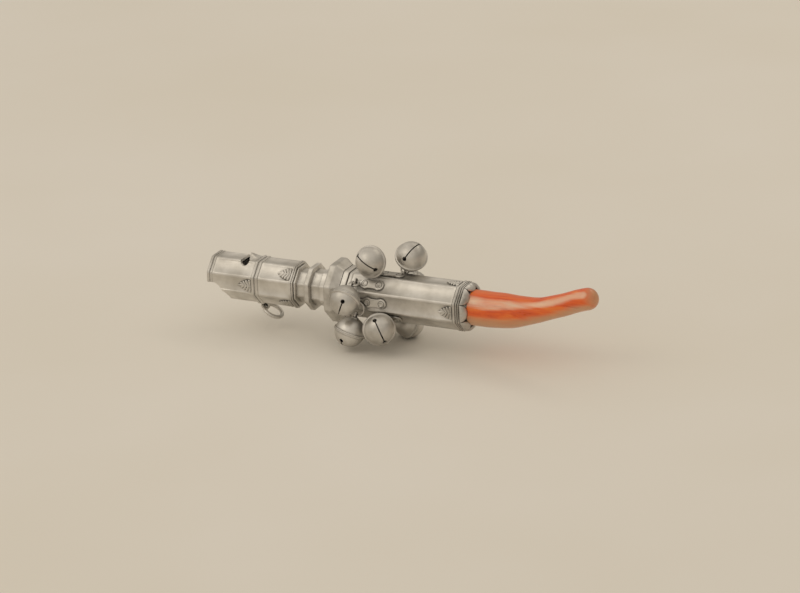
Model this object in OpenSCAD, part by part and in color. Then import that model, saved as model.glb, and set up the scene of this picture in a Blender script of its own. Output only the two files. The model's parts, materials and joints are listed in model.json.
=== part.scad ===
// Silver whistle and jingle-bell rattle with a coral stick.
// The rattle lies level along X: mouthpiece at -X, coral at +X, top facet up.
// The origin is on the floor, under the middle of its length.

/* [Whistle] */
// Across the corners of the two whistle tubes
whistle_d = 15.8; // [14:0.1:20]
// Wall of the whistle tubes
whistle_wall = 0.8; // [0.5:0.1:1.2]
// Length of the mouth rim
rim_len = 2.0; // [1:0.1:4]
// Step of a moulding over its tube
moulding_step = 0.25; // [0.1:0.05:0.6]
// Step of the centre band over the tubes
centre_band_step = 0.4; // [0.2:0.05:0.8]
// Length of the front tube, from the rim to the centre band
front_len = 14.6; // [13:0.1:22]
// Length of the centre band
centre_band_len = 2.6; // [2:0.1:5]
// Length of the rear tube
rear_len = 11.6; // [8:0.1:18]
// Length of the undercut below the player's lips
undercut_len = 4.7; // [3:0.1:6]
// Drop of the mouth's lower edge under the axis
undercut_drop = 0.4; // [0:0.1:2]
// Height of the windway over the plug
windway_h = 0.9; // [0.5:0.1:1.5]
// From the mouth to the middle of the window
window_x = 12.6; // [9:0.1:13]
// Radius of the round cut of the window
window_r = 1.6; // [1.2:0.1:2.2]
// Length of the pointed lip behind the window
lip_len = 2.2; // [1:0.1:2.3]
// Rise of the lip's point over the top facet
lip_rise = 1.5; // [0.3:0.1:2]

/* [Neck] */
// Length of the band at the end of the whistle
neck_band_len = 1.4; // [0.8:0.1:3]
// Length of the step behind that band
neck_step_len = 0.7; // [0.4:0.1:2]
// Across the corners of that step
neck_step_d = 14.6; // [13:0.1:16]
// Across the corners of the neck in front of its flange
neck_d = 11.6; // [9:0.1:13]
// Across the corners of the neck behind its flange
neck_rear_d = 12.6; // [9:0.1:13]
// Free neck before its flange
neck_front_len = 3.6; // [2:0.1:6]
// Length of the neck flange
neck_flange_len = 1.8; // [1:0.1:3]
// Across the corners of the neck flange
neck_flange_d = 16.1; // [14:0.1:20]
// Free neck behind its flange
neck_rear_len = 3.2; // [2:0.1:6]
// Length of the collar in front of the shoulder
neck_collar_len = 3.5; // [2:0.1:6]
// Across the corners of that collar
neck_collar_d = 13.4; // [12.8:0.1:16]

/* [Body] */
// Across the corners of the body tube
body_d = 16.5; // [16:0.1:20]
// Wall of the body tube
body_wall = 0.6; // [0.4:0.1:1]
// Length of the body tube between its seat and its band
body_len = 37.6; // [33:0.1:55]
// Across the corners of the big flange
flange_d = 21.8; // [20:0.1:26]
// Length of the big flange
flange_len = 2.7; // [1.5:0.1:4]
// Length of the slope behind the big flange
slope_len = 2.2; // [1:0.1:4]
// Length of the collar behind the slope
shoulder_len = 2.0; // [1:0.1:4]
// Step of that collar over the body tube
shoulder_step = 0.65; // [0.3:0.05:1.2]
// Length of the seat in front of the body tube
seat_len = 1.5; // [1:0.1:3]
// Step of the seat over the body tube
seat_step = 0.25; // [0.1:0.05:0.6]
// Length of the end band
end_band_len = 2.6; // [2.6:0.1:6]
// Length of the scalloped collar
scallop_len = 2.4; // [1.5:0.1:4]

/* [Coral] */
// Length of the coral that shows, measured along the rattle
coral_len = 44.2; // [30:0.1:60]
// Diameter of the coral in its collar
coral_root_d = 12.0; // [9:0.1:13]
// Diameter of the coral near its tip
coral_tip_d = 7.4; // [5:0.1:9]
// Rise of the coral's tip over the rattle's axis
coral_rise = 8.1; // [0:0.1:16]
// Coral held inside the end band
coral_tenon_len = 1.8; // [1:0.1:2.2]
// Play round the coral in the band
coral_clearance = 0.05; // [0.02:0.01:0.2]
// Thickness of the cement behind the coral
cement_len = 0.6; // [0.3:0.1:1]

/* [Straps and links] */
// Length of a bell strap between its eye and its end
strap_len = 10.1; // [9:0.1:12]
// Width of a strap at its rivets
strap_w = 3.3; // [2.8:0.1:4.5]
// Width of a strap between its rivets
strap_waist_w = 2.8; // [1.6:0.1:4.5]
// Thickness of a strap
strap_t = 0.6; // [0.4:0.05:0.8]
// Head diameter of a strap rivet
rivet_d = 2.0; // [1.6:0.1:2.4]
// Width of the raised rim round the rivet's sunken middle
rivet_rim_w = 0.4; // [0.3:0.05:0.6]
// Height of the rivet's sunken middle
rivet_middle_h = 0.1; // [0.05:0.01:0.2]
// From the eye to the first rivet
rivet_first_x = 3.0; // [2.8:0.1:3.3]
// Between the two rivets of a strap
rivet_pitch = 5.2; // [4:0.1:5.4]
// Wire diameter of the eyes
eye_wire = 0.7; // [0.5:0.05:0.9]
// Hole diameter of the eyes
eye_hole = 1.0; // [0.9:0.05:1.3]
// Wire diameter of the link rings
link_wire = 0.66; // [0.4:0.02:0.8]
// Middle diameter of a link ring
link_d = 3.2; // [3:0.1:4]
// Middle diameter of the large link under the front strap
large_link_d = 4.6; // [3:0.1:5]

/* [Bells] */
// Diameter of a bell
bell_d = 10.2; // [9:0.1:10.4]
// Diameter of a bell's rim
bell_rim_d = 11.0; // [9.6:0.1:11.2]
// Wall of a bell
bell_wall = 0.4; // [0.3:0.05:0.6]
// Thickness of one half of the rim
bell_rim_t = 0.45; // [0.3:0.05:0.6]
// Width of the sound slot
slot_w = 0.5; // [0.3:0.05:1]
// Diameter of the round holes that end the slot
slot_hole_d = 1.5; // [1:0.1:2]
// Angle between a round hole and the middle of the slot
slot_reach = 52; // [35:1:60]
// Diameter of the pellet in a bell
pellet_d = 2.4; // [1.8:0.1:3]

/* [Suspension ring] */
// Outer diameter of the suspension ring
ring_d = 7.9; // [6:0.1:10]
// Wire diameter of the suspension ring
ring_wire = 1.3; // [0.8:0.1:1.4]
// Hole diameter of its eye
ring_eye_hole = 1.6; // [1.5:0.1:2]
// Wire diameter of its eye
ring_eye_wire = 0.9; // [0.7:0.1:1.2]
// Angle of the hanging ring under the level line
ring_lean = 30; // [0:1:90]

/* [Leaves] */
// Length of a cast leaf
leaf_len = 5.1; // [3:0.1:6]
// Thickness of a cast leaf
leaf_t = 0.5; // [0.3:0.05:0.8]

/* [Hidden] */

$fn = 48;
tiny = 0.01;
silver = "silver";
bright_silver = "gainsboro";
coral_red = "orangered";
facets = 8;
half_facet = 180 / facets;
facet_ratio = cos(half_facet);

// Stations along the axis, from the mouth to the coral's tip
total_len = rim_len + front_len + centre_band_len + rear_len + neck_band_len + neck_step_len
    + neck_front_len + neck_flange_len + neck_rear_len + neck_collar_len
    + flange_len + slope_len + shoulder_len + seat_len + body_len
    + end_band_len + scallop_len + coral_len;
x_rim = -total_len / 2;
x_front = x_rim + rim_len;
x_centre_band = x_front + front_len;
x_rear = x_centre_band + centre_band_len;
x_neck_band = x_rear + rear_len;
x_neck_step = x_neck_band + neck_band_len;
x_neck = x_neck_step + neck_step_len;
x_neck_flange = x_neck + neck_front_len;
x_neck_rear = x_neck_flange + neck_flange_len;
x_neck_collar = x_neck_rear + neck_rear_len;
x_flange = x_neck_collar + neck_collar_len;
x_slope = x_flange + flange_len;
x_shoulder = x_slope + slope_len;
x_seat = x_shoulder + shoulder_len;
x_body = x_seat + seat_len;
x_band = x_body + body_len;
x_scallop = x_band + end_band_len;
x_coral = x_scallop + scallop_len;
x_tip = x_coral + coral_len;

whistle_r = whistle_d / 2;
whistle_flat = whistle_r * facet_ratio;
body_r = body_d / 2;
body_flat = body_r * facet_ratio;
whistle_inner_r = whistle_r - whistle_wall / facet_ratio;
neck_r = neck_d / 2;
coral_root_r = coral_root_d / 2;
coral_tip_r = coral_tip_d / 2;

// Directions round the axis: facet 1 is the top, the next ones turn towards the front
function facet_angle(k) = 90 + (k - 1) * 360 / facets;

// Bells, facets 1 to 8: eye from the body's front end, lean of the link, place of the
// bell's shank round the link, and swing of the bell about the link's wire
bell_places = [
    [7.1, -24, 5, 100, link_d],
    [2.2, 54, -2, 24, link_d],
    [3.9, 86, -17, -13, large_link_d],
    [8.4, 29, 78, -60, link_d],
    [10.6, 84, 33, -20, link_d],
    [4.8, 66, -50, -72, link_d],
    [6.7, 5, 60, -14, link_d],
    [14.2, 12, 46, 58, link_d],
];
// Turn of each bell's slot about its shank
slot_turns = [25, 115, 85, 140, 20, 80, 40, 70];
bells = len(bell_places);

bell_r = bell_d / 2;
bell_rim_r = bell_rim_d / 2;
eye_r = (eye_hole + eye_wire) / 2;
eye_height = eye_r + eye_wire / 2;
shank_r = eye_r;
shank_sink = 0.25;
shank_len = bell_r + shank_r + eye_wire / 2 - shank_sink;
pellet_r = pellet_d / 2;
pellet_gap = 0.05;

// Vectors of bell k: hole axis, link direction, shank direction and their origins
function facet_normal(k) = [0, cos(facet_angle(k)), sin(facet_angle(k))];
function eye_place(k) = [x_body + bell_places[k - 1][0], 0, 0] + (body_flat + eye_height) * facet_normal(k);
function link_r(k) = bell_places[k - 1][4] / 2;
hole_axis = [1, 0, 0];
function link_direction(k) =
    let (n = facet_normal(k), lean = bell_places[k - 1][1])
    cos(lean) * n + sin(lean) * cross(hole_axis, n);
function link_normal(k) = cross(hole_axis, link_direction(k));
function shank_radial(k) =
    let (turn = bell_places[k - 1][2])
    cos(turn) * link_direction(k) + sin(turn) * hole_axis;
function shank_place(k) = eye_place(k) + link_r(k) * (link_direction(k) + shank_radial(k));
function bell_direction(k) =
    let (swing = bell_places[k - 1][3])
    cos(swing) * shank_radial(k) + sin(swing) * link_normal(k);
function bell_centre(k) = shank_place(k) + shank_len * bell_direction(k);
function bell_low(k) =
    let (down = abs(bell_direction(k)[2]))
    bell_centre(k)[2] - max(bell_r, bell_rim_r * sqrt(1 - down * down) + bell_rim_t * down);

axis_height = -min([for (k = [1 : bells]) bell_low(k)]);

// Values for the record, in millimetres from the origin on the floor
function lifted(p) = p + [0, 0, axis_height];
function swing_axis(k) = cross(shank_radial(k), link_normal(k));
echo(axis_height = axis_height, total_len = total_len);
for (k = [1 : bells])
    echo(bell = k, eye = lifted(eye_place(k)), shank = lifted(shank_place(k)),
        swing_axis = swing_axis(k), centre = lifted(bell_centre(k)), way = bell_direction(k));
echo(ring_pivot = lifted([ring_eye_x, 0, -ring_eye_drop]), x_window = x_rim + window_x);

// Everything is modelled about the axis and lifted to stand on the floor
module lift() {
    translate([0, 0, axis_height])
        children();
}

// Octagonal bar or tube between two stations, flats up and down
module octagon(x, length, radius) {
    translate([x, 0, 0])
        rotate([0, 90, 0])
            rotate([0, 0, half_facet])
                cylinder(r = radius, h = length, $fn = facets);
}

module octagon_tube(x, length, radius, wall) {
    difference() {
        octagon(x, length, radius);
        octagon(x - tiny, length + 2 * tiny, radius - wall / facet_ratio);
    }
}

module octagon_ring(x, length, radius, bore) {
    difference() {
        octagon(x, length, radius);
        octagon(x - tiny, length + 2 * tiny, bore);
    }
}

// Wire ring about the Z axis
module wire_ring(radius, wire) {
    rotate_extrude()
        translate([radius, 0])
            circle(d = wire, $fn = 24);
}

// Turns Z to the direction d
module aim(d) {
    rotate([0, acos(d[2] / norm(d)), atan2(d[1], d[0])])
        children();
}

// Puts children on a facet: X along the axis, Z outward
module on_facet(k, x, flat) {
    rotate([facet_angle(k) - 90, 0, 0])
        translate([x, 0, flat])
            children();
}

// --- Whistle ---

// What the undercut takes away below the lips: a quarter of an ellipse
module undercut() {
    depth = whistle_r + 1;
    lip_z = -undercut_drop;
    steps = 12;
    profile = concat(
        [[x_rim - 1, lip_z], [x_front, lip_z]],
        [for (i = [1 : steps])
            let (a = 90 * i / steps)
            [x_front + undercut_len * sin(a), lip_z - depth * (1 - cos(a))]],
        [[x_rim - 1, lip_z - depth]]
    );
    rotate([90, 0, 0])
        linear_extrude(height = 3 * whistle_r, center = true)
            polygon(profile);
}

// The window is a hole across the whistle, centred on the level of its top facet
module window_cut() {
    translate([x_rim + window_x, 0, whistle_flat])
        rotate([90, 0, 0])
            cylinder(r = window_r, h = 2 * whistle_r, center = true);
}

module mouth_rim() {
    color(bright_silver)
        lift()
            difference() {
                octagon_tube(x_rim, rim_len, whistle_r + moulding_step, whistle_wall + moulding_step);
                undercut();
            }
}

module whistle_tube_front() {
    color(silver)
        lift()
            difference() {
                octagon_tube(x_front, front_len, whistle_r, whistle_wall);
                undercut();
                window_cut();
            }
}

module whistle_plug() {
    plug_len = x_rim + window_x - window_r - x_front;
    color(silver)
        lift()
            difference() {
                octagon(x_front, plug_len, whistle_inner_r);
                translate([x_front - 1, -whistle_r, whistle_inner_r * facet_ratio - windway_h])
                    cube([plug_len + 2, 2 * whistle_r, windway_h + 1]);
                undercut();
            }
}

// The lip stands up to a point in the middle of the top facet and runs out flat behind
module whistle_lip() {
    lip_x = x_rim + window_x + window_r;
    side_gap = 0.3;
    side_rise = 0.3 * lip_rise;
    half_w = whistle_flat * tan(half_facet) - side_gap;
    color(bright_silver)
        lift()
            translate([lip_x, 0, whistle_flat])
                intersection() {
                    rotate([90, 0, 0])
                        linear_extrude(height = 2 * half_w, center = true)
                            polygon([
                                [0, 0], [-0.2 * lip_len, lip_rise],
                                [0.3 * lip_len, 0.5 * lip_rise], [lip_len, 0],
                            ]);
                    rotate([90, 0, 90])
                        linear_extrude(height = 2 * lip_len, center = true)
                            polygon([
                                [-half_w, 0], [half_w, 0], [half_w, side_rise],
                                [0, lip_rise], [-half_w, side_rise],
                            ]);
                }
}

module whistle_end_disc() {
    disc_t = 1;
    color(silver)
        lift()
            octagon(x_neck_band - disc_t, disc_t, whistle_inner_r);
}

module centre_band() {
    groove = 0.5;
    groove_x = x_centre_band + (centre_band_len - groove) / 2;
    color(bright_silver)
        lift()
            difference() {
                octagon(x_centre_band, centre_band_len, centre_band_r);
                octagon(x_centre_band - tiny, centre_band_len + 2 * tiny, whistle_inner_r);
                octagon_ring(groove_x, groove, centre_band_r + 1, centre_band_r - moulding_step);
            }
}

ring_eye_x = x_centre_band + centre_band_len / 2;
ring_eye_r = (ring_eye_hole + ring_eye_wire) / 2;
ring_eye_sink = 0.25 * ring_eye_wire;
centre_band_r = whistle_r + centre_band_step;
ring_eye_drop = centre_band_r * facet_ratio + ring_eye_r + ring_eye_sink;
ring_r = (ring_d - ring_wire) / 2;

module ring_eye() {
    foot_r = 1.2;
    foot_h = 0.3;
    color(bright_silver)
        lift()
            difference() {
                union() {
                    translate([ring_eye_x, 0, -ring_eye_drop])
                        rotate([90, 0, 0])
                            wire_ring(ring_eye_r, ring_eye_wire);
                    translate([ring_eye_x, 0, -centre_band_r * facet_ratio - foot_h])
                        cylinder(r = foot_r, h = 2 * foot_h);
                }
                octagon(x_centre_band - 1, centre_band_len + 2, centre_band_r);
            }
}

module suspension_ring() {
    color(bright_silver)
        lift()
            translate([ring_eye_x, 0, -ring_eye_drop])
                rotate([0, ring_lean, 0])
                    translate([ring_r, 0, 0])
                        wire_ring(ring_r, ring_wire);
}

module whistle_tube_rear() {
    color(silver)
        lift()
            octagon_tube(x_rear, rear_len, whistle_r, whistle_wall);
}

// --- Neck ---

module neck_band() {
    color(bright_silver)
        lift()
            octagon(x_neck_band, neck_band_len, whistle_r + moulding_step);
}

module neck_step() {
    color(silver)
        lift()
            octagon(x_neck_step, neck_step_len, neck_step_d / 2);
}

module neck_tube() {
    color(silver)
        lift() {
            octagon(x_neck, neck_front_len + neck_flange_len, neck_r);
            octagon(x_neck_rear, neck_rear_len, neck_rear_d / 2);
        }
}

module neck_flange() {
    color(bright_silver)
        lift()
            octagon_ring(x_neck_flange, neck_flange_len, neck_flange_d / 2, neck_r);
}

module neck_collar() {
    color(silver)
        lift()
            octagon(x_neck_collar, neck_collar_len, neck_collar_d / 2);
}

module shoulder_flange() {
    flange_flat = flange_d / 2 * facet_ratio;
    slope_flat = (body_r + shoulder_step) * facet_ratio;
    color(bright_silver)
        lift()
            intersection_for(turn = [0 : 360 / facets : 179])
                rotate([90 + turn, 0, 0])
                    linear_extrude(height = 2 * flange_d, center = true)
                        polygon([
                            [x_flange, -flange_flat], [x_flange, flange_flat], [x_slope, flange_flat],
                            [x_shoulder, slope_flat], [x_shoulder, -slope_flat], [x_slope, -flange_flat],
                        ]);
}

module shoulder_collar() {
    color(silver)
        lift()
            octagon(x_shoulder, shoulder_len, body_r + shoulder_step);
}

// --- Body ---

module body_seat() {
    color(bright_silver)
        lift()
            octagon(x_seat, seat_len, body_r + seat_step);
}

module body_tube() {
    color(silver)
        lift()
            octagon_tube(x_body, body_len, body_r, body_wall);
}

module body_band() {
    grooves = 2;
    groove = 0.4;
    band_r = body_r + moulding_step;
    color(bright_silver)
        lift()
            difference() {
                octagon(x_band, end_band_len, band_r);
                translate([x_band - 1, 0, 0])
                    rotate([0, 90, 0])
                        cylinder(r = coral_root_r + coral_clearance, h = end_band_len + 2);
                for (i = [1 : grooves])
                    octagon_ring(x_band + i * end_band_len / (grooves + 1) - groove / 2, groove,
                        band_r + 1, band_r - moulding_step);
            }
}

// Domed collar drawn in to the coral, cut by a dart at each corner of the body
module coral_collar() {
    mouth_r = coral_root_r + 0.15;
    edge_t = 0.3;
    steps = 8;
    dart = 0.9;
    dart_depth = 0.4;
    color(bright_silver)
        lift()
            difference() {
                translate([x_scallop, 0, 0])
                    rotate([90, 0, 90])
                        rotate_extrude()
                            polygon(concat(
                                [[mouth_r, 0]],
                                [for (i = [0 : steps])
                                    let (a = 90 * i / steps)
                                    [mouth_r + edge_t + (body_r - mouth_r - edge_t) * cos(a),
                                        scallop_len * sin(a)]],
                                [[mouth_r, scallop_len]]
                            ));
                for (k = [1 : facets])
                    rotate([facet_angle(k) + half_facet, 0, 0])
                        translate([x_coral + dart_depth, body_r + dart_depth, 0])
                            rotate([45, 0, 0])
                                cube([2 * scallop_len, dart, dart], center = true);
            }
}

// --- Coral ---

// Middle line of the coral: level in the collar, then rising in one easy bend that levels out
coral_bend = 1.5;
coral_taper_middle = 0.455;
coral_taper_rate = 12.3;
function coral_rise_at(t) = coral_rise * (coral_bend * pow(t, 3) - (coral_bend - 1) * pow(t, 6));
function coral_taper_at(t) = 1 - 1 / (1 + exp(-coral_taper_rate * (t - coral_taper_middle)));
function coral_radius_at(t) = coral_tip_r
    + (coral_root_r - coral_tip_r) * coral_taper_at(t) / coral_taper_at(0);
coral_run = coral_len - coral_tip_r;
function coral_point(t) = [x_coral + coral_run * t, 0, coral_rise_at(t)];
function coral_tangent(t) =
    let (d = coral_point(min(1, t + 0.01)) - coral_point(max(0, t - 0.01)))
    d / norm(d);

coral_sides = 20;
coral_steps = 16;
coral_tip_steps = 4;

// One ring of points round the middle line, in the plane across it
function coral_ring(centre, along, radius) = [
    for (j = [0 : coral_sides - 1])
        let (a = 360 * j / coral_sides, up = [-along[2], 0, along[0]])
        centre + radius * (cos(a) * [0, 1, 0] + sin(a) * up)
];
coral_rings = concat(
    [coral_ring([x_scallop - coral_tenon_len, 0, 0], [1, 0, 0], coral_root_r)],
    [for (i = [0 : coral_steps])
        let (t = i / coral_steps)
        coral_ring(coral_point(t), coral_tangent(t), coral_radius_at(t))],
    [for (i = [1 : coral_tip_steps])
        let (a = 90 * i / (coral_tip_steps + 0.3), along = coral_tangent(1))
        coral_ring(coral_point(1) + coral_tip_r * sin(a) * along, along, coral_tip_r * cos(a))]
);

module coral_stick() {
    rings = len(coral_rings);
    last = (rings - 1) * coral_sides;
    color(coral_red)
        lift()
            polyhedron(
                points = [for (ring = coral_rings) each ring],
                faces = concat(
                    [[for (j = [0 : coral_sides - 1]) j]],
                    [for (i = [0 : rings - 2], j = [0 : coral_sides - 1])
                        let (next = (j + 1) % coral_sides, a = i * coral_sides)
                        [a + j, a + coral_sides + j, a + coral_sides + next, a + next]],
                    [[for (j = [coral_sides - 1 : -1 : 0]) last + j]]
                )
            );
}

module coral_cement() {
    color("dimgray")
        lift()
            translate([x_scallop - coral_tenon_len - cement_len, 0, 0])
                rotate([0, 90, 0])
                    cylinder(r = coral_root_r, h = cement_len);
}

// --- Leaves ---

// Flat outline of a cast leaf: stem at the origin, tip at -X, rounded lobes on both sides
module leaf_outline() {
    lobes = 3;
    lobe_r = 0.17 * leaf_len;
    union() {
        polygon([
            [0, lobe_r], [-0.75 * leaf_len, 0.9 * lobe_r], [-leaf_len, 0],
            [-0.75 * leaf_len, -0.9 * lobe_r], [0, -lobe_r],
        ]);
        for (i = [0 : lobes - 1], side = [-1, 1])
            translate([-(0.17 + 0.27 * i) * leaf_len, side * (0.27 - 0.06 * i) * leaf_len])
                circle(r = lobe_r * (1 - 0.12 * i), $fn = 24);
    }
}

module leaf(k, x, flat) {
    on_facet(k, x, flat)
        linear_extrude(height = leaf_t)
            leaf_outline();
}

module mouth_leaves() {
    color(bright_silver)
        lift()
            for (k = [3, 7])
                leaf(k, x_centre_band, whistle_flat);
}

module chamber_leaves() {
    color(bright_silver)
        lift()
            for (k = [2, 4, 6, 8])
                leaf(k, x_neck_band, whistle_flat);
}

module body_leaves() {
    color(bright_silver)
        lift()
            for (k = [1, 3, 5, 7])
                leaf(k, x_band, body_flat);
}

// --- Bell straps ---

rivet_hole_d = 0.5;
rivet_clearance = 0.02;

// Flat plate with an eyelet round each rivet, drawn in to the eye at its left end
module strap_plate() {
    tongue_w = 1.6;
    linear_extrude(height = strap_t)
        difference() {
            union() {
                for (x = [rivet_first_x, rivet_first_x + rivet_pitch])
                    translate([x, 0])
                        circle(d = strap_w);
                translate([rivet_first_x, -strap_waist_w / 2])
                    square([rivet_pitch, strap_waist_w]);
                translate([0, -tongue_w / 2])
                    square([strap_len - strap_w / 2, tongue_w]);
                circle(d = tongue_w);
                translate([strap_len - 0.5, 0])
                    circle(d = 1);
            }
            for (x = [rivet_first_x, rivet_first_x + rivet_pitch])
                translate([x, 0])
                    circle(d = rivet_hole_d + 2 * rivet_clearance);
        }
}

// The eye stands across the strap, so that its hole runs along the body
module strap_eye() {
    difference() {
        translate([0, 0, eye_height])
            rotate([0, 90, 0])
                wire_ring(eye_r, eye_wire);
        translate([-2, -2, -2])
            cube([4, 4, 2]);
    }
}

module bell_straps() {
    color(bright_silver)
        lift()
            for (k = [1 : bells])
                on_facet(k, x_body + bell_places[k - 1][0], body_flat) {
                    strap_plate();
                    strap_eye();
                }
}

// Hollow-headed rivets, which look like eyelets
module strap_rivets() {
    color(silver)
        lift()
            for (k = [1 : bells], x = [rivet_first_x, rivet_first_x + rivet_pitch])
                on_facet(k, x_body + bell_places[k - 1][0] + x, body_flat) {
                    cylinder(d = rivet_hole_d, h = strap_t + tiny, $fn = 24);
                    translate([0, 0, strap_t])
                        rotate_extrude()
                            intersection() {
                                union() {
                                    square([rivet_d / 2, rivet_middle_h]);
                                    translate([(rivet_d - rivet_rim_w) / 2, rivet_middle_h])
                                        circle(d = rivet_rim_w, $fn = 24);
                                }
                                square([rivet_d / 2, strap_t]);
                            }
                }
}

// --- Links and bells ---

module link(k) {
    color(bright_silver)
        lift()
            translate(eye_place(k) + link_r(k) * link_direction(k))
                aim(link_normal(k))
                    wire_ring(link_r(k), link_wire);
}

// Puts children at bell k's centre: Z towards the shank, X across the shank's eye
module at_bell(k) {
    z = -bell_direction(k);
    x = swing_axis(k);
    y = cross(z, x);
    c = bell_centre(k);
    lift()
        multmatrix([
            [x[0], y[0], z[0], c[0]],
            [x[1], y[1], z[1], c[1]],
            [x[2], y[2], z[2], c[2]],
            [0, 0, 0, 1],
        ])
            children();
}

// Section of the upper half of a bell's outside
module half_disc() {
    intersection() {
        circle(r = bell_r);
        square(bell_r);
    }
}

// Half of a bell above Z = 0, with its half of the rim
module cup() {
    rotate_extrude()
        difference() {
            union() {
                half_disc();
                square([bell_rim_r, bell_rim_t]);
            }
            circle(r = bell_r - bell_wall);
        }
}

// Two halves soldered together at the rim, with the sound slot cut in the lower one
module bell_shell(k) {
    slot_x = bell_r * sin(slot_reach);
    color(silver)
        at_bell(k)
            difference() {
                union() {
                    cup();
                    rotate([180, 0, 0])
                        cup();
                }
                rotate([0, 0, slot_turns[k - 1]]) {
                    translate([-slot_x, -slot_w / 2, -bell_r - 1])
                        cube([2 * slot_x, slot_w, bell_r - 1]);
                    for (side = [-1, 1])
                        rotate([0, 180 + side * slot_reach, 0])
                            translate([0, 0, bell_r - 1.5])
                                cylinder(d = slot_hole_d, h = 3);
                }
            }
}

// Loop of wire on a small round foot, soldered to the top of the bell
module bell_shank(k) {
    foot_r = 1.3;
    foot_h = 0.2;
    foot_root = 0.3;
    color(silver)
        at_bell(k)
            difference() {
                union() {
                    translate([0, 0, shank_len])
                        rotate([0, 90, 0])
                            wire_ring(shank_r, eye_wire);
                    translate([0, 0, bell_r - foot_root])
                        cylinder(r = foot_r, h = foot_root + foot_h);
                }
                rotate_extrude()
                    half_disc();
            }
}

module pellet(k) {
    orbit = bell_r - bell_wall - pellet_r - pellet_gap;
    color("dimgray")
        lift()
            translate(bell_centre(k) - [0, 0, orbit])
                sphere(r = pellet_r);
}

// --- Nodes ---

mouth_rim();
whistle_tube_front();
whistle_plug();
whistle_lip();
whistle_end_disc();
centre_band();
ring_eye();
suspension_ring();
whistle_tube_rear();
neck_band();
neck_step();
neck_tube();
neck_flange();
neck_collar();
shoulder_flange();
shoulder_collar();
body_seat();
body_tube();
body_band();
coral_collar();
coral_stick();
coral_cement();
mouth_leaves();
chamber_leaves();
body_leaves();
bell_straps();
strap_rivets();
for (k = [1 : bells]) {
    link(k);
    bell_shell(k);
    bell_shank(k);
    pellet(k);
}
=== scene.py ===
import json
import math

import bmesh
import bpy
from mathutils import Matrix, Vector

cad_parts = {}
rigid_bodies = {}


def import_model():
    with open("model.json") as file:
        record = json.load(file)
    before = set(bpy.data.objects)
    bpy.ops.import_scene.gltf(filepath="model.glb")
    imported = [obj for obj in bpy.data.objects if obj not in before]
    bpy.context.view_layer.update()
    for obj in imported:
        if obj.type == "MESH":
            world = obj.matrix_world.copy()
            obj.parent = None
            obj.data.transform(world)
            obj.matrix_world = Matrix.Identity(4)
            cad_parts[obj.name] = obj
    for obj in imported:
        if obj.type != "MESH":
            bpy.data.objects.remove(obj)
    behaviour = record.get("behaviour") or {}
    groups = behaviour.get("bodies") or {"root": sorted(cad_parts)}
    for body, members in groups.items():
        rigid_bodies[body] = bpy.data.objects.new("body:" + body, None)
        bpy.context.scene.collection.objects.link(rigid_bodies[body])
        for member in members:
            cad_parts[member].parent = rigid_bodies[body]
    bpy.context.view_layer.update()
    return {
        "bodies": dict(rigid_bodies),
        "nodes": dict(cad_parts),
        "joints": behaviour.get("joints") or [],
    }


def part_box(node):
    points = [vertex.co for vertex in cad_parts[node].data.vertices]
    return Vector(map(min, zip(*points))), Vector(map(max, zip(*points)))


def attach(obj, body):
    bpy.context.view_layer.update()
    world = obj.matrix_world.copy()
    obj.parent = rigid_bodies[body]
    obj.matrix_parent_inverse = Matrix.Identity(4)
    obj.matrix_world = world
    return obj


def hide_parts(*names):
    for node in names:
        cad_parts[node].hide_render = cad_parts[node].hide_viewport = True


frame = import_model()

mm = 0.001
perMetre = 1000      # turns a size in millimetres into a texture scale
facets = 8
halfFacet = math.pi / facets
flatRatio = math.cos(halfFacet)
joints = {joint["name"]: joint for joint in frame["joints"]}
bellCount = sum(1 for body in frame["bodies"] if body.startswith("bell_"))


def nodeSpan(node):
    low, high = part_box(node)
    return low.x / mm, high.x / mm


def nodeMiddle(node):
    low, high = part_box(node)
    return (low + high) / 2 / mm


axisZ = nodeMiddle("body_tube").z
axisPoint = Vector((0.0, 0.0, axisZ))


def linearColour(hexText, alpha=1.0):
    values = []
    for i in (0, 2, 4):
        c = int(hexText[i:i + 2], 16) / 255
        values.append(c / 12.92 if c <= 0.04045 else ((c + 0.055) / 1.055) ** 2.4)
    return (*values, alpha)


def addNode(tree, kind, settings=None, inputs=None):
    # settings are the node's own fields, inputs its sockets: a value or an output to link.
    node = tree.nodes.new(kind)
    for key, value in (settings or {}).items():
        setattr(node, key, value)
    for key, value in (inputs or {}).items():
        if isinstance(value, bpy.types.NodeSocket):
            tree.links.new(value, node.inputs[key])
        else:
            node.inputs[key].default_value = value
    return node


def addRamp(tree, factor, stops):
    ramp = addNode(tree, "ShaderNodeValToRGB", None, {"Fac": factor})
    elements = ramp.color_ramp.elements
    while len(elements) < len(stops):
        elements.new(0.5)
    for element, (place, colour) in zip(elements, stops):
        element.position = place
        element.color = colour
    return ramp.outputs["Color"]


def grey(value):
    return (value, value, value, 1.0)


def makeMesh(name, points, faces):
    mesh = bpy.data.meshes.new(name)
    mesh.from_pydata([tuple(p) for p in points], [], faces)
    mesh.update()
    piece = bpy.data.objects.new(name, mesh)
    bpy.context.scene.collection.objects.link(piece)
    return piece


def tidyNormals(piece):
    work = bmesh.new()
    work.from_mesh(piece.data)
    bmesh.ops.remove_doubles(work, verts=work.verts, dist=0.0005 * mm)
    bmesh.ops.recalc_face_normals(work, faces=work.faces)
    work.to_mesh(piece.data)
    work.free()


def smoothShade(piece, sharpDegrees):
    mesh = piece.data
    mesh.polygons.foreach_set("use_smooth", [True] * len(mesh.polygons))
    mesh.set_sharp_from_angle(angle=math.radians(sharpDegrees))
    mesh.update()


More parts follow.
